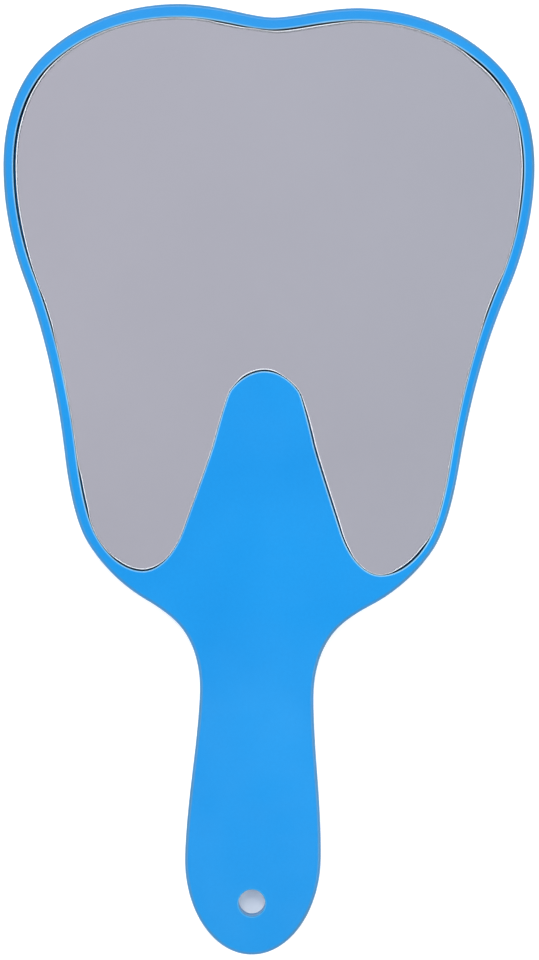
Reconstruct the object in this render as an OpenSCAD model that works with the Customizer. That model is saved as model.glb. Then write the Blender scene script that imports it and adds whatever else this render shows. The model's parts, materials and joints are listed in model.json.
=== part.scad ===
// Tooth-shaped dental hand mirror, lying on its back, face up.
// X runs across the head, Y from the handle to the crown, Z out of the mirror's face.
// The origin is on the resting plane, under the middle of the length and width.

/* [Outline] */
// Length over all, from the handle's end to the lobes of the crown
length = 250; // [242:1:258]
// Width across the head at its widest
head_w = 140; // [134:1:146]
// Width across the waist, where the crown meets the roots
waist_w = 104; // [100:1:107]
// Width of the grip at its widest
grip_w = 35.8; // [33:0.2:38]
// Width of the neck between the grip and the head
neck_w = 30; // [28:0.5:32]
// Depth of the notch between the two lobes of the crown
notch_depth = 3; // [2.5:0.1:3.3]

/* [Shells] */
// Thickness of the back shell
back_t = 2; // [1.6:0.1:2.6]
// Thickness of the skin over the hollow handle
skin_t = 1.8; // [1.4:0.1:2]
// Thickness of the walls round the hollow handle
wall = 2; // [1.6:0.1:2.2]
// Radius of the rounded outer edges
edge_r = 1; // [0.6:0.1:1.2]

/* [Mirror] */
// Width of the rim at the sides
rim_side = 2.75; // [2.45:0.05:2.95]
// Width of the rim over the crown
rim_crown = 3.5; // [3:0.1:3.8]
// Turn of the mirror in the frame, counterclockwise, in degrees
mirror_turn = 0.3; // [0:0.1:0.5]
// Shift of the mirror in the frame, to the right
mirror_shift = 0.1; // [0:0.1:0.3]
// Gap between the rim and the mirror sheet
gap = 0.35; // [0.2:0.05:0.45]
// How far the mirror's face lies below the rim
recess = 0.3; // [0.1:0.1:0.5]
// Thickness of the clear sheet
sheet_t = 2; // [1.8:0.1:3]
// Thickness of the reflecting coating
coating_t = 0.04; // [0.03:0.01:0.06]
// Thickness of the protective paint behind the coating
paint_t = 0.06; // [0.05:0.01:0.1]
// Thickness of the foam tape behind the mirror
tape_t = 1; // [0.8:0.1:1.2]

/* [Hanging hole] */
// Diameter of the hanging hole
hole_d = 7; // [5:0.5:8]
// Distance of the hole's centre from the handle's end
hole_y = 13.7; // [12:0.1:16]
// Bevel on the hole's edges
hole_bevel = 0.4; // [0.2:0.1:0.6]

/* [Inside] */
// Diameter of the locating pins on the back shell
pin_d = 3; // [2.5:0.1:3.5]
// Clearance of the pins in their sockets
pin_play = 0.1; // [0.05:0.05:0.2]
// Thickness of the ribs across the hollow handle
rib_t = 1.2; // [0.8:0.1:1.6]
// Distance between the ribs
rib_pitch = 14; // [10:1:17]
// Clearance between the ribs and the back shell
rib_play = 0.2; // [0.1:0.1:0.4]

/* [Hidden] */
$fn = 64;

blue = [0.06, 0.42, 0.90];
clear = [0.85, 0.88, 0.92, 0.35];
silver = [0.75, 0.76, 0.80];
grey = [0.30, 0.31, 0.33];
foam = [0.92, 0.92, 0.90];

steps = 12;       // straight pieces in each curve between two stations
round_steps = 4;  // steps in a rounded edge
eps = 0.5;        // how far a cutter reaches past the face it opens

// Heights of the layers, from the back up
tape_z = back_t;
paint_z = tape_z + tape_t;
coating_z = paint_z + paint_t;
sheet_z = coating_z + coating_t;
face_z = sheet_z + sheet_t;
thickness = face_z + recess;

// Heights along the handle and the head, from the handle's end
grip_y = 25.5;
taper_y = 48;
neck_y = 69;
throat_y = 92.7;
root_y = 100.9;
waist_y = 130.5;
tongue_y = 154.1;
head_y = 175;
widest_y = 208;
lobe_x = 23.5;
notch_y = length - notch_depth;

// How much further the handle's edge leans half-way between the grip and the neck than the
// straight line between them
lean_share = 1.45;
taper_lean = lean_share * atan((grip_w - neck_w) / 4 / (neck_y - taper_y));

// Right half of the outline, from the handle's end to the notch in the crown. Each station is
// [x, y, heading], with the heading of the curve there in degrees, counterclockwise from +X.
outline_half = [
    [0, 0, 0],
    [grip_w / 2, grip_y, 90],
    [(grip_w + neck_w) / 4, taper_y, 90 + taper_lean],
    [neck_w / 2, neck_y, 90],
    [neck_w / 2 + 5.5, 86, 49],
    [neck_w / 2 + 14.5, throat_y, 29],
    [waist_w / 2 - 6.6, 107.5, 57],
    [waist_w / 2, waist_y, 82],
    [head_w / 2 - 6.3, 176.5, 68],
    [head_w / 2, widest_y, 90],
    [head_w / 2 - 10, length - 14.3, 135],
    [lobe_x, length, 180],
    [9, notch_y + 0.42 * notch_depth, 191.5],
    [0, notch_y, 180]
];
waist_station = 7;

// Right half of the mirror's edge round its root, from the top of the tongue to the waist,
// where it joins the curve that follows the outline
root_half = [
    [0, tongue_y, 0],
    [9.3, 148.7, -54],
    [13.5, 134.5, -76],
    [21.1, 111.6, -71],
    [31.3, root_y, 0],
    [waist_w / 2 - 8.4, 110.2, 62]
];

// Locating pins, along the middle line and in a pair across the throat
pin_places = [[0, 36], [0, neck_y], [-14, 99], [14, 99], [0, 138]];
// Ribs across the hollow, at even distances from the first one
rib_count = 2;
first_rib_y = 46;
rib_places = [for (k = [0:rib_count - 1]) first_rib_y + k * rib_pitch];
// The hollow's reach to each side of the middle line, and its start past the solid end
hollow_x = 28;
hollow_y = 31;

// Strips of foam tape, each [x, y, width, length], with x and y at its middle
crown_strip = [40, 200, 25, 60];
middle_strip = [0, 180, 36, 25];
root_strip = [33, 122, 12, 26];

// Width of frame between the outline and the mirror's edge, at height y: even along the sides,
// and wider over the crown
crown_rise = 8;
function border(y) =
    let (up = min(1, max(0, (y - waist_y) / (length - waist_y))))
    gap + rim_side + (rim_crown - rim_side) * pow(up, crown_rise);

function direction(angle) = [cos(angle), sin(angle)];
function cross2(a, b) = a.x * b.y - a.y * b.x;
function point(station) = [station.x, station.y];

// The control points between two stations lie on their tangents, at the share of the way to
// where the tangents meet that makes a quarter of a circle or ellipse come out round
function controls(a, b) =
    let (
        p = point(a), q = point(b), turn = b[2] - a[2],
        from = direction(a[2]), to = direction(b[2]),
        share = 4 / 3 * tan(turn / 4) / tan(turn / 2) / sin(turn)
    )
    [p, p + share * cross2(q - p, to) * from, q - share * cross2(from, q - p) * to, q];

function bezier(c, t) =
    pow(1 - t, 3) * c[0] + 3 * pow(1 - t, 2) * t * c[1] + 3 * (1 - t) * t * t * c[2] + pow(t, 3) * c[3];

// All points of a half curve, with the last station's point
function smooth(stations) = [
    for (i = [0:len(stations) - 2])
        let (c = controls(stations[i], stations[i + 1]))
        for (k = [0:steps - 1]) bezier(c, k / steps),
    point(stations[len(stations) - 1])
];

// A half curve that starts and ends on the middle line, closed by its mirror image
function both_sides(half) = [
    each half,
    for (i = [len(half) - 2:-1:1]) [-half[i].x, half[i].y]
];

function unit(v) = v / norm(v);
function outward(a, b) = let (d = unit(b - a)) [d.y, -d.x];

// The point of a closed or open curve moved square to the curve, towards its inside
function moved(p, before, after, distance) =
    let (a = outward(before, p), b = outward(p, after))
    p - distance * (a + b) / (1 + a * b);

function inset(points, distance) =
    let (n = len(points))
    [for (i = [0:n - 1])
        moved(points[i], points[(i + n - 1) % n], points[(i + 1) % n], distance)];

// A point of the mirror's edge, turned about the head's middle and shifted with the mirror
function askew(p) =
    let (x = p.x, y = p.y - head_y, c = cos(mirror_turn), s = sin(mirror_turn))
    [mirror_shift + x * c - y * s, head_y + x * s + y * c];

outline = both_sides(smooth(outline_half));

// The outline's right half from the waist to the notch, moved in by the border
above_waist = [
    for (i = [waist_station * steps:(len(outline_half) - 1) * steps])
        moved(outline[i], outline[i - 1], outline[i + 1], border(outline[i].y))
];
mirror_half = [
    each smooth([each root_half, [above_waist[0].x, above_waist[0].y, outline_half[waist_station][2]]]),
    for (i = [1:len(above_waist) - 1]) above_waist[i]
];
mirror_edge = [for (p = both_sides(mirror_half)) askew(p)];
pocket_edge = inset(mirror_edge, -gap);

// Height of a quarter round, as a share of its radius, where it has come in by a given share
function round_height(share) = sqrt(1 - pow(1 - share, 2));

// Everything is drawn with y from the handle's end, then moved to its middle
module centred() translate([0, -length / 2, 0]) children();

module plate(points, z, t) translate([0, 0, z]) linear_extrude(t) polygon(points);

// Slab of a closed outline, with its upper edge rounded off in steps. Each step is a plate that
// starts half-way up the slab and ends where the quarter round reaches the middle of its ledge.
module rounded_slab(points, z, t, r) {
    plate(points, z, t - r + r * round_height(0.5 / round_steps));
    for (k = [1:round_steps - 1])
        plate(inset(points, r * k / round_steps), z + t / 2,
            t / 2 - r + (k < round_steps - 1 ? r * round_height((k + 0.5) / round_steps) : r));
}

module hollow_shape() intersection() {
    difference() {
        polygon(inset(outline, wall));
        polygon(inset(mirror_edge, -gap - wall));
    }
    translate([-hollow_x, hollow_y]) square([2 * hollow_x, tongue_y - hollow_y]);
}

// Hollow of the handle and tongue, around the sockets and the ribs
module hollow() difference() {
    translate([0, 0, back_t - eps]) linear_extrude(thickness - skin_t - back_t + eps) hollow_shape();
    for (p = pin_places) translate(p) cylinder(d = pin_d + 2 * rib_t, h = thickness);
    for (y = rib_places) translate([-grip_w / 2, y - rib_t / 2, back_t + rib_play])
        cube([grip_w, rib_t, thickness]);
}

// Cone that bevels the hole's lower edge
module bevel() translate([0, 0, -eps])
    cylinder(d1 = hole_d + 2 * (hole_bevel + eps), d2 = hole_d, h = hole_bevel + eps);

module hanging_hole() translate([0, hole_y, 0]) {
    translate([0, 0, -eps]) cylinder(d = hole_d, h = thickness + 2 * eps);
    bevel();
    translate([0, 0, thickness]) mirror([0, 0, 1]) bevel();
}

module front_frame() color(blue) centred() difference() {
    rounded_slab(outline, back_t, thickness - back_t, edge_r);
    plate(pocket_edge, back_t - eps, thickness);
    hollow();
    for (p = pin_places) translate([p.x, p.y, back_t - eps])
        cylinder(d = pin_d + 2 * pin_play, h = thickness - skin_t - back_t + eps);
    hanging_hole();
}

module back_shell() color(blue) centred() {
    difference() {
        translate([0, 0, back_t]) mirror([0, 0, 1]) rounded_slab(outline, 0, back_t, edge_r);
        hanging_hole();
    }
    for (p = pin_places) translate([p.x, p.y, back_t - eps])
        cylinder(d = pin_d, h = thickness - skin_t - back_t - pin_play + eps);
}

module mirror_sheet() color(clear) centred() plate(mirror_edge, sheet_z, sheet_t);

module reflective_coating() color(silver) centred() plate(mirror_edge, coating_z, coating_t);

module backing_paint() color(grey) centred() plate(mirror_edge, paint_z, paint_t);

// A strip of double-sided foam tape, on the middle line or to one side of it
module tape(strip, side) color(foam) centred()
    translate([side * strip.x - strip[2] / 2, strip.y - strip[3] / 2, tape_z])
        cube([strip[2], strip[3], tape_t]);

module tape_crown(side) tape(crown_strip, side);
module tape_middle() tape(middle_strip, 1);
module tape_root(side) tape(root_strip, side);

front_frame();
back_shell();
mirror_sheet();
reflective_coating();
backing_paint();
tape_crown(-1);  // tape_crown_left
tape_crown(1);  // tape_crown_right
tape_middle();
tape_root(-1);  // tape_root_left
tape_root(1);  // tape_root_right
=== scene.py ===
"""Looks of a tooth-shaped dental hand mirror, lying face up: a blue moulded frame and back shell,
and a mirror sheet let into the frame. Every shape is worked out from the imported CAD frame, in
metres."""

import json
import math

import bpy
import numpy as np
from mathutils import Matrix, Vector
from mathutils.geometry import delaunay_2d_cdt


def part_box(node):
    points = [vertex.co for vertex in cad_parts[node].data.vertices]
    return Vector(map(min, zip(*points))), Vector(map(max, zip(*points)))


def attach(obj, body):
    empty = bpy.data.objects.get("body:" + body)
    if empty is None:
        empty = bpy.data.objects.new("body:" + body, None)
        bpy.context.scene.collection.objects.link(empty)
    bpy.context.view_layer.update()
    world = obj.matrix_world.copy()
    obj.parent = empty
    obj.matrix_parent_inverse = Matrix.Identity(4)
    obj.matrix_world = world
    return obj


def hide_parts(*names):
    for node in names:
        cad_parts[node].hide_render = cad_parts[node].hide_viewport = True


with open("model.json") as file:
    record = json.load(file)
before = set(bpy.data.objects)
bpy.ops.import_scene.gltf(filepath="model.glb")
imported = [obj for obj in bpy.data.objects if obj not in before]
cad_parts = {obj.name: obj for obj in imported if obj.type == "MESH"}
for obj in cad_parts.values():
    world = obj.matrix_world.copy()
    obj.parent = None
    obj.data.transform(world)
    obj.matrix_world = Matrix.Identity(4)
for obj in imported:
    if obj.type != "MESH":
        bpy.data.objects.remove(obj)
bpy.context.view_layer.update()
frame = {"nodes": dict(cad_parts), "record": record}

MM = 0.001
SAME = 2e-6                 # points closer than this are one point

# Detail that is finer than the CAD model
SPACING = 0.8 * MM          # distance between points along the outline
FINE = 12                   # points on the smooth curve from one CAD point to the next
FILL = 4 * MM               # distance between points in the flat faces
CLEAR = 0.7 * FILL          # how far those points keep from the faces' edges
STAGGER = 0.25              # share of FILL that their rows are shifted, in turn left and right
EDGE_R = 1.0 * MM           # round of the outer edges
LIP_R = 0.45 * MM           # round of the pocket's lip
HOLE_R = 0.35 * MM          # round of the hanging hole's edges
SEAM_R = 0.15 * MM          # round of the edges that meet at the seam between the shells
ARRIS = 0.25 * MM           # round on the mirror sheet's cut edge, in front
SHEET_BACK_R = 0.05 * MM    # round on that edge behind
PIN_R = 0.3 * MM            # round on the locating pins' ends
TAPE_R = 0.2 * MM           # round on the foam tape's edges
TAPE_CORNER_R = 1.5 * MM    # round of the foam tape's corners, seen from above
AIR = 0.005 * MM            # half of the air between the sheet and its coating
EDGE_SHADE = 0.8                  # how much painted shade darkens the outer edges
DARK_STEPS = 3              # steps of the lip's round that get the pocket wall's painted shade

# The sheet is cut a little unevenly: its gap to the frame is NARROW, except along some stretches.
# Each of those is [x, y, gap, half its length], in millimetres. FALL is how suddenly they end.
NARROW = 0.06
FALL = 6
WIDE = [
    [-66.5, 82, 0.64, 27], [-57, 43, 0.36, 6], [-47.5, -4.5, 0.50, 6], [-33, -24, 0.42, 7],
    [-2, 29, 0.42, 6], [16, 2, 0.46, 20], [21.5, -15, 0.34, 5], [40, -20, 0.55, 6],
    [60, 48, 0.34, 6], [67, 82, 0.38, 13], [57, 109, 0.52, 8], [9, 120.5, 0.40, 10],
    [-11, 120.5, 0.34, 5],
]

# The sheet's edge is broken the wider, the wider the gap: by ARRIS where the gap is FULL_GAP, but
# never by less or more than these shares of it.
FULL_GAP = 0.45 * MM
LEAST_BROKEN = 0.45
MOST_BROKEN = 0.9

# The camera: straight above the face, a little to the right of the middle
CAMERA_UP = 690 * MM
CAMERA_RIGHT = 2.06 * MM
CAMERA_AHEAD = 0.13 * MM
CAMERA_ROLL = 1.33          # degrees
LENS = 98.35                # millimetres, for a 36 mm sensor


# ---------------------------------------------------------------- reading the CAD nodes

def merged(node):
    """Vertices of a CAD node with doubles merged, and its faces as lists of their numbers."""
    mesh = frame["nodes"][node].data
    number, points, new = {}, [], []
    for v in mesh.vertices:
        key = tuple(round(c / SAME) for c in v.co)
        if key not in number:
            number[key] = len(points)
            points.append(v.co.copy())
        new.append(number[key])
    faces = []
    for p in mesh.polygons:
        f = [new[i] for i in p.vertices]
        if len(set(f)) == len(f):
            faces.append(f)
    return points, faces


def chained(edges):
    """Directed edges joined into closed loops of vertex numbers."""
    after = dict(edges)
    loops = []
    while after:
        first, at = after.popitem()
        loop = [first]
        while at != first:
            loop.append(at)
            at = after.pop(at)
        loops.append(loop)
    return loops


def open_edges(faces):
    """Edges that only one of these faces has, in that face's direction."""
    edges = {(f[i - 1], f[i]) for f in faces for i in range(len(f))}
    return [e for e in edges if (e[1], e[0]) not in edges]


def area(loop):
    """The area inside a loop, above 0 where it runs counterclockwise."""
    x, y = np.array(loop).T[:2]
    return 0.5 * float(np.sum(x * np.roll(y, -1) - y * np.roll(x, -1)))


def lies_at(z, points, face):
    """Do all corners of the face lie at height z?"""
    return all(abs(points[i].z - z) < SAME for i in face)


def loops_at(node, z):
    """Outlines of a CAD node's flat faces at height z, the largest first, counterclockwise."""
    points, faces = merged(node)
    flat = [f for f in faces if lies_at(z, points, f)]
    loops = [np.array([points[i][:2] for i in loop]) for loop in chained(open_edges(flat))]
    loops = [loop if area(loop) > 0 else loop[::-1] for loop in loops]
    return sorted(loops, key=area, reverse=True)


def smooth(loop):
    """A closed smooth curve through the loop's points, at even spacing, with its outward normals.
    It starts at the loop's lowest point, and of equally low ones at that nearest the middle
    line."""
    start = np.argmin(loop[:, 1] + 0.01 * abs(loop[:, 0]))
    p = np.roll(loop, -start, axis=0)
    step = np.linalg.norm(np.roll(p, -1, 0) - p, axis=1)[:, None]
    slope = (np.roll(p, -1, 0) - p) / step
    before, step_before = np.roll(slope, 1, 0), np.roll(step, 1, 0)
    tangent = (slope * step_before + before * step) / (step + step_before)
    t = np.linspace(0, 1, FINE, endpoint=False)[None, :, None]
    a, b = p[:, None], np.roll(p, -1, 0)[:, None]
    ta, tb = (tangent * step)[:, None], (np.roll(tangent, -1, 0) * step)[:, None]
    fine = (
        a * (2 * t**3 - 3 * t**2 + 1) + ta * (t**3 - 2 * t**2 + t)
        + b * (3 * t**2 - 2 * t**3) + tb * (t**3 - t**2)
    ).reshape(-1, 2)
    closed = np.vstack([fine, fine[:1]])
    along = np.concatenate([[0], np.cumsum(np.linalg.norm(np.diff(closed, axis=0), axis=1))])
    count = 2 * round(along[-1] / SPACING / 2)
    at = np.linspace(0, along[-1], count, endpoint=False)
    even = np.column_stack([np.interp(at, along, closed[:, i]) for i in (0, 1)])
    return even, outward(even)


def outward(points):
    """Unit normals of a closed counterclockwise curve, pointing out of it."""
    run = np.roll(points, -1, 0) - np.roll(points, 1, 0)
    normal = np.column_stack([run[:, 1], -run[:, 0]])
    return normal / np.linalg.norm(normal, axis=1)[:, None]


def circle(centre, radius, count=96):
    """A circle like smooth()'s result."""
    turn = np.linspace(0, 2 * math.pi, count, endpoint=False)
    normal = np.column_stack([np.cos(turn), np.sin(turn)])
    return np.array(centre)[None] + radius * normal, normal


# ---------------------------------------------------------------- building meshes

class Body:
    """A closed mesh, put together from rings that follow curves, and from flat caps."""

    def __init__(self):
        self.points, self.normals, self.painted_edge_light = [], [], []       # one of each for every vertex
        self.faces, self.flat, self.material = [], [], []       # one of each for every face

    def ring(self, curve, inset, z, out, up, painted_edge_light):
        """A ring of vertices, moved in from the curve. out and up are its normal's parts. The last
        argument is how much a slanting edge there is painted lighter, a painted highlight; below
        0, how much it is painted darker, a painted shade. It counts in full where the slant is 45
        degrees, and not at all on walls and flat faces."""
        points, normals = curve
        first = len(self.points)
        moved = points - normals * np.reshape(inset, (-1, 1))
        self.points += [(x, y, z) for x, y in moved.tolist()]
        self.normals += [(x * out, y * out, up) for x, y in normals.tolist()]
        self.painted_edge_light += [painted_edge_light * 2 * abs(out * up)] * len(moved)
        return list(range(first, len(self.points)))

    def wall(self, curve, profile, material=0, inner=False, width=1, painted_edge_light=0.0):
        """Rings up the profile, joined by faces. Each step of the profile is (inset, z, out, up).
        material is a place in the piece's list of materials, or one place for each step. An inner
        wall is the side of an opening, so it faces the other way. width stretches the profile
        sideways, everywhere or at each point."""
        rings = [self.ring(curve, inset * width, *rest, painted_edge_light) for inset, *rest in profile]
        for k, (low, high) in enumerate(zip(rings, rings[1:])):
            kind = material[k] if isinstance(material, list) else material
            for i in range(len(low)):
                j = (i + 1) % len(low)
                face = [low[i], low[j], high[j], high[i]]
                self.add(face[::-1] if inner else face, False, kind)
        return rings[0], rings[-1]

    def add(self, face, flat, material=0):
        self.faces.append(face)
        self.flat.append(flat)
        self.material.append(material)

    def cap(self, rings, up, material=0):
        """Flat faces between rings that lie in one plane, however they are nested. Extra points
        inside keep the triangles from getting long and thin."""
        level = self.points[rings[0][0]][2]
        outlines = [np.array([self.points[i][:2] for i in ring]) for ring in rings]
        edge = np.vstack(outlines)
        low, high = edge.min(axis=0), edge.max(axis=0)
        count = np.ceil((high - low) / FILL)
        x, y = np.meshgrid(*(np.arange(n) + 0.5 for n in count))
        x[::2] += STAGGER
        x[1::2] -= STAGGER
        fill = low + np.column_stack([x.ravel(), y.ravel()]) / count * (high - low)
        fill = fill[between(fill, outlines)]
        far = [np.min(np.hypot(*(edge - p).T)) > CLEAR for p in fill]
        fill = fill[np.array(far, dtype=bool)]
        numbers = [i for ring in rings for i in ring]
        numbers += range(len(self.points), len(self.points) + len(fill))
        self.points += [(x, y, level) for x, y in fill.tolist()]
        self.normals += [(0, 0, 1 if up else -1)] * len(fill)
        self.painted_edge_light += [0] * len(fill)
        ends = np.cumsum([len(ring) for ring in rings])
        sides = [
            (i, i + 1 if i + 1 < end else end - len(ring))
            for ring, end in zip(rings, ends) for i in range(end - len(ring), end)
        ]
        flat = [Vector(self.points[i][:2]) for i in numbers]
        # 0 asks for triangles all over, and the last number is how close points may be
        _, _, triangles, from_points, _, _ = delaunay_2d_cdt(flat, sides, [], 0, 1e-9)
        triangles = np.array([[from_points[i][0] for i in t] for t in triangles])
        middles = np.array(flat)[triangles].mean(axis=1)
        for triangle, kept in zip(triangles.tolist(), between(middles, outlines)):
            if kept:
                face = [numbers[i] for i in triangle]
                self.add(face if up else face[::-1], True, material)

    def piece(self, name, slot, replaced, materials):
        """Makes the object, which rides on the one body and stands for its CAD node."""
        mesh = bpy.data.meshes.new(name)
        mesh.from_pydata(self.points, [], self.faces)
        mesh.polygons.foreach_set("use_smooth", [True] * len(self.faces))
        mesh.polygons.foreach_set("material_index", self.material)
        for m in materials:
            mesh.materials.append(m)
        corners = []
        for polygon, flat in zip(mesh.polygons, self.flat):
            level = tuple(polygon.normal)
            corners += [level if flat else self.normals[v] for v in polygon.vertices]
        mesh.normals_split_custom_set(corners)
        mesh.attributes.new("painted_edge_light", "FLOAT", "POINT").data.foreach_set("value", self.painted_edge_light)
        mesh.update()
        piece = bpy.data.objects.new(name, mesh)
        bpy.context.scene.collection.objects.link(piece)
        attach(piece, "root")
        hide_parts(replaced)


def between(points, outlines):
    """Which of the points lie inside an odd number of the closed outlines?"""
    odd = np.zeros(len(points), dtype=bool)
    for outline in outlines:
        for (x1, y1), (x2, y2) in zip(outline, np.roll(outline, -1, axis=0)):
            level = (y1 > points[:, 1]) != (y2 > points[:, 1])
            if y1 != y2:
                odd ^= level & (points[:, 0] < x1 + (x2 - x1) * (points[:, 1] - y1) / (y2 - y1))
    return odd


def rounded(r, z, upper, opening=False, steps=8):
    """Profile of a quarter round that ends on the plane z, from the bottom up. On an opening the
    round spreads outwards from the opening's wall, and its normals face into the opening."""
    side = -1 if opening else 1
    turns = [math.pi / 2 * k / steps for k in range(steps + 1)]
    if not upper:
        turns = turns[::-1]
    level = 1 if upper else -1
    return [
        (side * r * (1 - math.cos(a)), z - level * r * (1 - math.sin(a)),
         side * math.cos(a), level * math.sin(a))
        for a in turns
    ]


def interior(body, node, level):
    """Copies a CAD node's hidden hollows, which open only in the plane z = level, and returns the
    rings in that plane. Faces that hang together form a group, and those of the hollows are the
    groups that don't reach the node's top."""
    points, faces = merged(node)
    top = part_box(node)[1].z
    rest = [f for f in faces if not lies_at(level, points, f)]
    group = list(range(len(points)))

    def root(i):
        while group[i] != i:
            group[i] = group[group[i]]
            i = group[i]
        return i

    for f in rest:
        for i in f[1:]:
            group[root(i)] = root(f[0])
    outer = {root(i) for i in range(len(points)) if abs(points[i].z - top) < SAME}
    hidden = [f for f in rest if root(f[0]) not in outer]
    new = {}
    for f in hidden:
        for i in f:
            if i not in new:
                new[i] = len(body.points)
                body.points.append(tuple(points[i]))
                body.normals.append((0, 0, 1))
                body.painted_edge_light.append(0)
        body.add([new[i] for i in f], True)
    return [[new[i] for i in loop] for loop in chained(open_edges(hidden))]


# ---------------------------------------------------------------- materials

def tree_of(name):
    """A new material, its tree and its Principled shader."""
    material = bpy.data.materials.new(name)
    material.use_nodes = True
    return material, material.node_tree, material.node_tree.nodes["Principled BSDF"]


def put(tree, kind, **values):
    """A node with its inputs set, or linked where the value is another node's output. Names are
    those of the inputs, with _ for spaces; a number in the name picks an input by its place."""
    n = tree.nodes.new(kind)
    for name, value in values.items():
        at = int(name[1:]) if name[0] == "i" and name[1:].isdigit() else name.replace("_", " ")
        if isinstance(value, bpy.types.NodeSocket):
            tree.links.new(value, n.inputs[at])
        else:
            n.inputs[at].default_value = value
    return n


def noise(tree, at, scale, detail, roughness=0.5):
    """Fine noise from 0 to 1; scale is in waves per metre, and detail adds finer waves."""
    return put(tree, "ShaderNodeTexNoise", Vector=at, Scale=scale, Detail=detail,
               Roughness=roughness).outputs["Fac"]


def spread(tree, value, source, target=(0, 1)):
    """The value, taken from the source range to the target range and kept within it."""
    return put(tree, "ShaderNodeMapRange", Value=value, From_Min=source[0], From_Max=source[1],
               To_Min=target[0], To_Max=target[1]).outputs["Result"]


def blended(tree, share, a, b):
    """A colour between a and b. The numbers are the places of a Mix node's colour sockets."""
    n = tree.nodes.new("ShaderNodeMix")
    n.data_type = "RGBA"
    for place, value in ((0, share), (6, a), (7, b)):
        if isinstance(value, bpy.types.NodeSocket):
            tree.links.new(value, n.inputs[place])
        else:
            n.inputs[place].default_value = value
    return n.outputs[2]


def product(tree, a, b):
    n = put(tree, "ShaderNodeMath", i0=a, i1=b)
    n.operation = "MULTIPLY"
    return n.outputs[0]


def total(tree, a, b):
    return put(tree, "ShaderNodeMath", i0=a, i1=b).outputs[0]


def stretched(tree, at, x, y, z):
    """The place, scaled along each axis."""
    n = put(tree, "ShaderNodeMapping", Vector=at, Scale=(x, y, z))
    return n.outputs["Vector"]


def bumped(tree, shader, height, depth):
    """Gives the shader a bump of that height map; depth is in metres."""
    bump = put(tree, "ShaderNodeBump", Height=height, Strength=1.0, Distance=depth)
    tree.links.new(bump.outputs["Normal"], shader.inputs["Normal"])


def object_place(tree):
    """The place on the object, in metres."""
    return tree.nodes.new("ShaderNodeTexCoord").outputs["Object"]


# Colours, in linear red, green and blue. Where there are two, the surface varies between them.
PLASTIC = (0.0002, 0.203, 0.535, 1), (0.0016, 0.233, 0.585, 1)
RECESS_SHADE = (0.0004, 0.002, 0.005, 1), (0.001, 0.004, 0.010, 1)        # painted shade: the pocket's wall, nearly black where the gap lies in shade
BORE_PAINTED_PALE = (0.030, 0.260, 0.520, 1), (0.045, 0.290, 0.570, 1)         # the hanging hole's wall, painted paler to stand in for the light falling on it
LIP_HIGHLIGHT_AND_GRIP = (0.22, 0.48, 0.66, 1)                                        # painted highlight on the pocket's lip, and paler at the grip
DARKER_ENDS = (0.001, 0.085, 0.230, 1)                                    # darker blue at both ends: painted shade at the handle's end, a darker tone at the crown
EDGE_SHADE_BLUE = (0.060, 0.150, 0.200, 1)                                    # painted shade on the outer edges
SHEET = (0.985, 0.99, 0.995, 1)
FROSTED = (0.74, 0.80, 0.86, 1), (0.95, 0.97, 0.98, 1)              # the sheet's broken edge
GROUND = (0.80, 0.81, 0.85, 1), (0.92, 0.93, 0.96, 1)               # the sheet's side
FILM = (0.845, 0.85, 0.865, 1), (0.87, 0.875, 0.89, 1)              # the mirror's metal
PAINT = (0.19, 0.20, 0.215, 1), (0.26, 0.27, 0.285, 1)
FOAM = (0.90, 0.90, 0.87, 1), (0.74, 0.74, 0.70, 1)

# Stretches along Y over which the marks on the plastic come or go
GRIP_FADE = (-60 * MM, -35 * MM)
HANDLE_END_FADE = (-120 * MM, -95 * MM)
CROWN_FADE = (20 * MM, 80 * MM)

# How much the marks show
TONE, GRAIN = 0.65, 0.35            # slow and fine changes of tone
GRIP_PALER = 0.04                         # how much paler towards the grip
# Painted shade darkening the handle's end, and a darker tone towards the crown
END_SHADE, CROWN_DARKER = 0.10, 0.06
SCRATCHED = 0.03                    # roughness that scratches add, where there are most
POLISH = (0.28, 0.34)               # roughness of the plastic between them
PEEL = 0.010 * MM                   # depth of the peel in the mould's polish
SAWN = 0.02 * MM                    # depth of the marks on the sheet's cut
SPRAYED = 0.02 * MM                 # depth of the paint's grain
CELLS = 0.08 * MM                   # depth of the foam's open cells

MOST = (0.3, 0.7)                   # most of a noise lies between these
LONG = 0.012                        # scale along a scratch, where 1 is across it


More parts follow.
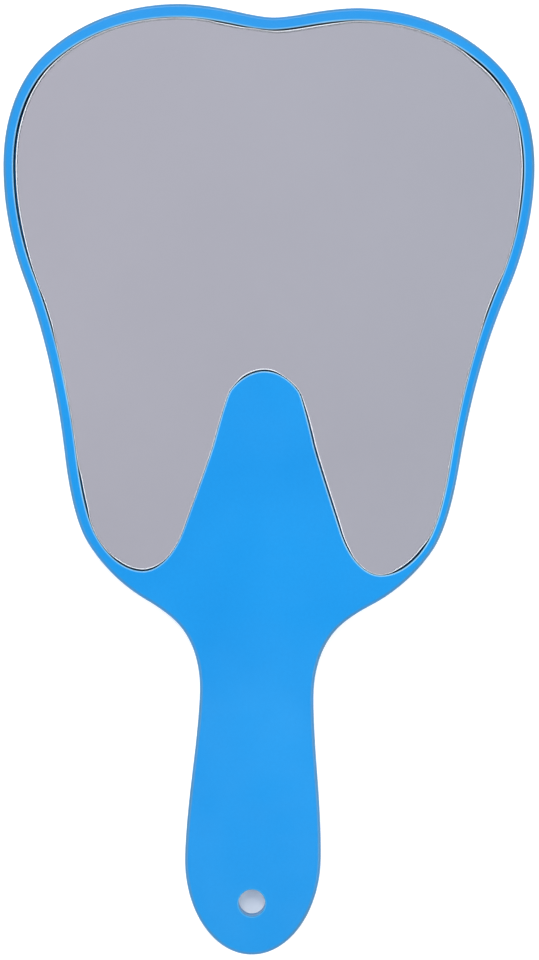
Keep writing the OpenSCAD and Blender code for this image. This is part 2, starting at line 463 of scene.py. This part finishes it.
def blue_plastic(name, shades, gloss=0.30):
    """Glossy moulded plastic: slow changes of tone, paler towards the grip, painted shade at the
    handle's end, darker towards the crown, a painted highlight on the pocket's lip, painted shade
    on the outer edges, the faint peel of the mould's polish, and fine handling scratches that
    only the gloss shows."""
    material, tree, shader = tree_of(name)
    at = object_place(tree)
    tone = spread(tree, noise(tree, at, scale=28, detail=3), MOST, (0, TONE))
    grain = spread(tree, noise(tree, at, scale=1300, detail=2), MOST, (0, GRAIN))
    colour = blended(tree, total(tree, tone, grain), *shades)

    painted_edge_light = tree.nodes.new("ShaderNodeAttribute")
    painted_edge_light.attribute_name = "painted_edge_light"
    uneven = spread(tree, noise(tree, at, scale=60, detail=4), (0.35, 0.65), (0.5, 1))
    # Painted highlight: slanting edges marked lighter, on the pocket's lip
    painted_pale = product(tree, spread(tree, painted_edge_light.outputs["Fac"], (0, 1)), uneven)
    # Painted shade: slanting edges marked darker, on the outer edges
    edge_shaded = product(tree, spread(tree, painted_edge_light.outputs["Fac"], (-1, 0), (1, 0)), uneven)
    along_y = put(tree, "ShaderNodeSeparateXYZ", Vector=at).outputs["Y"]
    grip_paler = product(tree, spread(tree, along_y, GRIP_FADE, (GRIP_PALER, 0)), uneven)
    # Painted shade: the handle's end darkened where the light falls off
    end_shade = spread(tree, along_y, HANDLE_END_FADE, (END_SHADE, 0))
    # Darker towards the crown
    crown_darker = spread(tree, along_y, CROWN_FADE, (0, CROWN_DARKER))
    colour = blended(tree, total(tree, painted_pale, grip_paler), colour, LIP_HIGHLIGHT_AND_GRIP)
    colour = blended(tree, total(tree, end_shade, crown_darker), colour, DARKER_ENDS)
    colour = blended(tree, edge_shaded, colour, EDGE_SHADE_BLUE)
    tree.links.new(colour, shader.inputs["Base Color"])

    along = noise(tree, stretched(tree, at, 1, LONG, 1), scale=2400, detail=0)
    across = noise(tree, stretched(tree, at, LONG, 1, 1), scale=2100, detail=0)
    scratches = total(tree, spread(tree, along, (0.58, 0.7)), spread(tree, across, (0.6, 0.72)))
    handled = spread(tree, noise(tree, at, scale=45, detail=2), (0.4, 0.7), (0, SCRATCHED))
    polish = spread(tree, noise(tree, at, scale=90, detail=3), MOST, POLISH)
    rough = total(tree, polish, product(tree, scratches, handled))
    tree.links.new(rough, shader.inputs["Roughness"])
    shader.inputs["IOR"].default_value = 1.5
    shader.inputs["Specular IOR Level"].default_value = gloss

    coarse = product(tree, noise(tree, at, scale=420, detail=2), 0.8)
    fine = product(tree, noise(tree, at, scale=3200, detail=1), 0.2)
    bumped(tree, shader, total(tree, coarse, fine), PEEL)
    return material


def clear_sheet():
    """Polished clear sheet, with faint wipe marks that soften its gloss in places."""
    material, tree, shader = tree_of("clear_sheet")
    at = object_place(tree)
    wipes = noise(tree, stretched(tree, at, 1, 0.12, 1), scale=130, detail=4, roughness=0.6)
    smears = noise(tree, at, scale=40, detail=3)
    rough = total(
        tree,
        spread(tree, wipes, (0.5, 0.75), (0.0, 0.02)),
        spread(tree, smears, (0.5, 0.8), (0.0, 0.015)),
    )
    tree.links.new(rough, shader.inputs["Roughness"])
    shader.inputs["Base Color"].default_value = SHEET
    shader.inputs["Transmission Weight"].default_value = 1.0
    shader.inputs["IOR"].default_value = 1.49
    return material


def cut_edge(name, shades):
    """The sheet's cut: sawn marks across its thickness, frosted."""
    material, tree, shader = tree_of(name)
    at = object_place(tree)
    saw = noise(tree, stretched(tree, at, 1, 1, 0.15), scale=2400, detail=3)
    colour = blended(tree, spread(tree, saw, MOST), *shades)
    tree.links.new(colour, shader.inputs["Base Color"])
    tree.links.new(spread(tree, saw, MOST, (0.42, 0.6)), shader.inputs["Roughness"])
    bumped(tree, shader, saw, SAWN)
    return material


def mirror_coating():
    """Bright metal film behind the sheet, a touch duller in faint patches."""
    material, tree, shader = tree_of("mirror_coating")
    at = object_place(tree)
    patches = spread(tree, noise(tree, at, scale=16, detail=3), (0.35, 0.65))
    tree.links.new(blended(tree, patches, *FILM), shader.inputs["Base Color"])
    shader.inputs["Metallic"].default_value = 1.0
    rough = spread(tree, noise(tree, at, scale=70, detail=3), (0.4, 0.7), (0.0, 0.012))
    tree.links.new(rough, shader.inputs["Roughness"])
    return material


def grey_paint():
    """Matt protective paint with a sprayed grain."""
    material, tree, shader = tree_of("grey_paint")
    at = object_place(tree)
    grain = noise(tree, at, scale=2200, detail=3)
    tree.links.new(blended(tree, grain, *PAINT), shader.inputs["Base Color"])
    tree.links.new(spread(tree, grain, MOST, (0.6, 0.75)), shader.inputs["Roughness"])
    bumped(tree, shader, grain, SPRAYED)
    return material


def foam_tape():
    """White foam, with open cells on its cut sides."""
    material, tree, shader = tree_of("foam_tape")
    at = object_place(tree)
    cells = put(tree, "ShaderNodeTexVoronoi", Vector=at, Scale=3200).outputs["Distance"]
    colour = blended(tree, spread(tree, cells, (0.1, 0.7)), *FOAM)
    tree.links.new(colour, shader.inputs["Base Color"])
    shader.inputs["Roughness"].default_value = 0.8
    bumped(tree, shader, cells, CELLS)
    return material


plastic = blue_plastic("blue_plastic", PLASTIC)
# Nearly black plastic: painted shade for the pocket's wall
recess_shade = blue_plastic("blue_painted_recess_shade", RECESS_SHADE, 0.1)
# Paler plastic for the hanging hole's wall: painted light
painted_pale = blue_plastic("blue_bore_painted_pale", BORE_PAINTED_PALE, 0.2)
sheet = clear_sheet()
frosted = cut_edge("frosted_edge", FROSTED)
ground = cut_edge("ground_side", GROUND)
metal = mirror_coating()
paint = grey_paint()
foam = foam_tape()


# ---------------------------------------------------------------- the pieces

mounts = {m["name"]: m for m in frame["record"]["mounts"]}
hole_at = mounts["hang_hole"]["pos_m"][:2]
hole = circle(hole_at, mounts["hang_hole"]["dims"]["r_mm"] * MM)

seam_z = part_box("front_frame")[0].z
rim_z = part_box("front_frame")[1].z
frame_loops = loops_at("front_frame", seam_z)
outline = smooth(frame_loops[0])
pocket = smooth(frame_loops[1])


def gap_at(points):
    """The gap between the frame and the sheet at each point."""
    wide = [
        NARROW + (gap - NARROW) / (1 + (np.hypot(*(points / MM - [x, y]).T) / half) ** FALL)
        for x, y, gap, half in WIDE
    ]
    return np.max(wide, axis=0) * MM


gaps = gap_at(pocket[0])
sheet_edge = pocket[0] - pocket[1] * gaps[:, None]
mirror_edge = sheet_edge, outward(sheet_edge)


def front_frame():
    """The moulded front: rim, tongue and handle, with the CAD model's hollow behind."""
    b = Body()
    low, high = rounded(SEAM_R, seam_z, False), rounded(EDGE_R, rim_z, True)
    # The outer edges get painted shade
    outer = b.wall(outline, low + high, painted_edge_light=-EDGE_SHADE)
    low, high = rounded(SEAM_R, seam_z, False, True), rounded(LIP_R, rim_z, True, True)
    # The pocket's wall and the lowest steps of the lip's round take the nearly black material,
    # painted shade in the gap
    dark = len(low) + DARK_STEPS
    kinds = [1] * dark + [0] * (len(low + high) - dark)
    # The lip's round gets a painted highlight
    lip = b.wall(pocket, low + high, kinds, inner=True, painted_edge_light=1)
    low, high = rounded(SEAM_R, seam_z, False, True), rounded(HOLE_R, rim_z, True, True)
    # The hole's wall takes the paler plastic, painted light
    bore = b.wall(hole, low + high, 2, inner=True)
    b.cap([outer[1], lip[1], bore[1]], True)
    b.cap([outer[0], lip[0], bore[0], *interior(b, "front_frame", seam_z)], False)
    materials = [plastic, recess_shade, painted_pale]
    b.piece("front_frame_moulding", "blue_plastic", "front_frame", materials)


def back_shell():
    """The moulded back, with the locating pins on its inside."""
    b = Body()
    low, high = rounded(EDGE_R, 0, False), rounded(SEAM_R, seam_z, True)
    # The outer edges get painted shade
    outer = b.wall(outline, low + high, painted_edge_light=-EDGE_SHADE)
    low, high = rounded(HOLE_R, 0, False, True), rounded(SEAM_R, seam_z, True, True)
    # The hole's wall takes the paler plastic, painted light
    bore = b.wall(hole, low + high, 1, inner=True)
    pin_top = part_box("back_shell")[1].z
    pins = []
    for loop in loops_at("back_shell", pin_top):
        side = circle(loop.mean(axis=0), math.sqrt(area(loop) / math.pi), count=48)
        pin = b.wall(side, [(0, seam_z, 1, 0), *rounded(PIN_R, pin_top, True)])
        b.cap([pin[1]], True)
        pins.append(pin[0])
    b.cap([outer[0], bore[0]], False)
    b.cap([outer[1], bore[1], *pins], True)
    b.piece("back_shell_moulding", "blue_plastic", "back_shell", [plastic, painted_pale])


def mirror_sheet():
    """The clear sheet, with its cut side ground and the broken edge in front frosted. The edge is
    broken less where the gap is narrow."""
    low, high = (v.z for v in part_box("mirror_sheet"))
    b = Body()
    side = rounded(SHEET_BACK_R, low + AIR, False, steps=2)
    front = rounded(ARRIS, high, True, steps=5)
    kinds = [2] * len(side) + [1] * len(front)
    broken = np.clip(gaps / FULL_GAP, LEAST_BROKEN, MOST_BROKEN)
    ends = b.wall(mirror_edge, side + front, kinds, width=broken)
    b.cap([ends[0]], False)
    b.cap([ends[1]], True)
    b.piece("mirror_sheet_polished", "clear_sheet", "mirror_sheet", [sheet, frosted, ground])


def layer(node, name, slot, material, air):
    """A thin layer behind the sheet."""
    low, high = (v.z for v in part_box(node))
    b = Body()
    ends = b.wall(mirror_edge, [(0, low, 1, 0), (0, high - air, 1, 0)])
    b.cap([ends[0]], False)
    b.cap([ends[1]], True)
    b.piece(name, slot, node, [material])


def foam_strip(node):
    """A strip of foam tape, with rounded corners and soft edges."""
    low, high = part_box(node)
    r = TAPE_CORNER_R
    left, right, near, far = low.x + r, high.x - r, low.y + r, high.y - r
    points = []
    for k, (x, y) in enumerate([(left, near), (right, near), (right, far), (left, far)]):
        for turn in np.linspace(0, 1, 9):
            a = math.pi / 2 * (k + 2 + turn)
            points.append((x + r * math.cos(a), y + r * math.sin(a)))
    curve = np.array(points), outward(np.array(points))
    b = Body()
    ends = b.wall(curve, rounded(TAPE_R, low.z, False) + rounded(TAPE_R, high.z, True))
    b.cap([ends[0]], False)
    b.cap([ends[1]], True)
    b.piece("foam_" + node, "foam_tape", node, [foam])


front_frame()
back_shell()
mirror_sheet()
layer("reflective_coating", "mirror_coating_film", "mirror_coating", metal, AIR)
layer("backing_paint", "backing_paint_coat", "grey_paint", paint, 0)
for tape in sorted(n for n in frame["nodes"] if n.startswith("tape_")):
    foam_strip(tape)


# ---------------------------------------------------------------- floor, light and camera

FLOOR_REACH = 6.0               # metres from the middle to the floor's sides
FLOOR_DROP = 0.05 * MM          # air between the floor and the mirror's back
FLOOR = (0.92, 0.91, 0.88, 1)
GLOW_COLOUR = (1, 0.97, 0.90, 1)
GLOW = 0.34                     # how much the floor glows
HOLE_GLOW = 0.09                # the same below the hanging hole
GLOW_FADE = (4 * MM, 6 * MM)    # distance from the hole's middle over which that changes

CEILING_LEFT = (0.522, 0.503, 0.568, 1)
CEILING_RIGHT = (0.470, 0.477, 0.540, 1)
WALLS = (0.95, 0.96, 1.00, 1)
MIDDLE = (-0.2, 0.2)            # where left blends into right, and behind into ahead
WALL_TOP = (0.40, 0.90)         # heights between which the walls turn into the ceiling
STRENGTH = (0.94, 1.06)         # of the sky behind and ahead

DOME = 2.2                      # metres from the mirror to the softboxes
SOFTBOXES = [
    # name, azimuth, angle from the zenith, size in metres, power in watts
    ("softbox_ahead", 98, 34, 1.0, 22.5),
    ("softbox_left", 190, 45, 1.3, 13),
    ("softbox_right", -10, 45, 1.3, 16),
    ("softbox_behind", 270, 45, 1.3, 5),
]


def floor():
    """A plain pale floor just under the mirror. It glows a little, as on a light table, but less
    below the hanging hole."""
    mesh = bpy.data.meshes.new("floor")
    corners = [(-1, -1), (1, -1), (1, 1), (-1, 1)]
    points = [(x * FLOOR_REACH, y * FLOOR_REACH, -FLOOR_DROP) for x, y in corners]
    mesh.from_pydata(points, [], [(0, 1, 2, 3)])
    material, tree, shader = tree_of("floor")
    shader.inputs["Base Color"].default_value = FLOOR
    shader.inputs["Roughness"].default_value = 0.7
    shader.inputs["Emission Color"].default_value = GLOW_COLOUR
    away = put(tree, "ShaderNodeVectorMath", i0=object_place(tree), i1=(*hole_at, 0))
    away.operation = "DISTANCE"
    glow = spread(tree, away.outputs["Value"], GLOW_FADE, (HOLE_GLOW, GLOW))
    tree.links.new(glow, shader.inputs["Emission Strength"])
    mesh.materials.append(material)
    piece = bpy.data.objects.new("floor", mesh)
    bpy.context.scene.collection.objects.link(piece)


def sky():
    """Soft light from all round: pale walls, and a grey ceiling that the mirror shows, a little
    brighter and warmer to the left, and brighter ahead."""
    world = bpy.data.worlds.new("studio")
    bpy.context.scene.world = world
    world.use_nodes = True
    tree = world.node_tree
    place = tree.nodes.new("ShaderNodeTexCoord").outputs["Generated"]
    axes = put(tree, "ShaderNodeSeparateXYZ", Vector=place).outputs
    ceiling = blended(tree, spread(tree, axes["X"], MIDDLE), CEILING_LEFT, CEILING_RIGHT)
    colour = blended(tree, spread(tree, axes["Z"], WALL_TOP, (1, 0)), ceiling, WALLS)
    background = tree.nodes["Background"]
    tree.links.new(colour, background.inputs["Color"])
    strength = spread(tree, axes["Y"], MIDDLE, STRENGTH)
    tree.links.new(strength, background.inputs["Strength"])


def softbox(name, azimuth, from_zenith, size, power):
    """A square area light on the dome, facing the mirror. Angles are in degrees, the azimuth
    counterclockwise from +X."""
    a, z = math.radians(azimuth), math.radians(from_zenith)
    at = DOME * Vector((math.cos(a) * math.sin(z), math.sin(a) * math.sin(z), math.cos(z)))
    light = bpy.data.lights.new(name, "AREA")
    light.shape = "SQUARE"
    light.size = size
    light.energy = power
    lamp = bpy.data.objects.new(name, light)
    lamp.location = at
    lamp.rotation_mode = "QUATERNION"
    lamp.rotation_quaternion = (-at).to_track_quat("-Z", "Y")
    bpy.context.scene.collection.objects.link(lamp)


def camera():
    """Looks straight down at the mirror."""
    data = bpy.data.cameras.new("camera")
    data.lens = LENS
    data.sensor_width = 36
    data.clip_start = 0.01
    cam = bpy.data.objects.new("camera", data)
    cam.location = (CAMERA_RIGHT, CAMERA_AHEAD, rim_z + CAMERA_UP)
    cam.rotation_euler = (0, 0, math.radians(CAMERA_ROLL))
    bpy.context.scene.collection.objects.link(cam)
    bpy.context.scene.camera = cam


floor()
sky()
for box in SOFTBOXES:
    softbox(*box)
camera()
bpy.context.scene.view_settings.view_transform = "Standard"
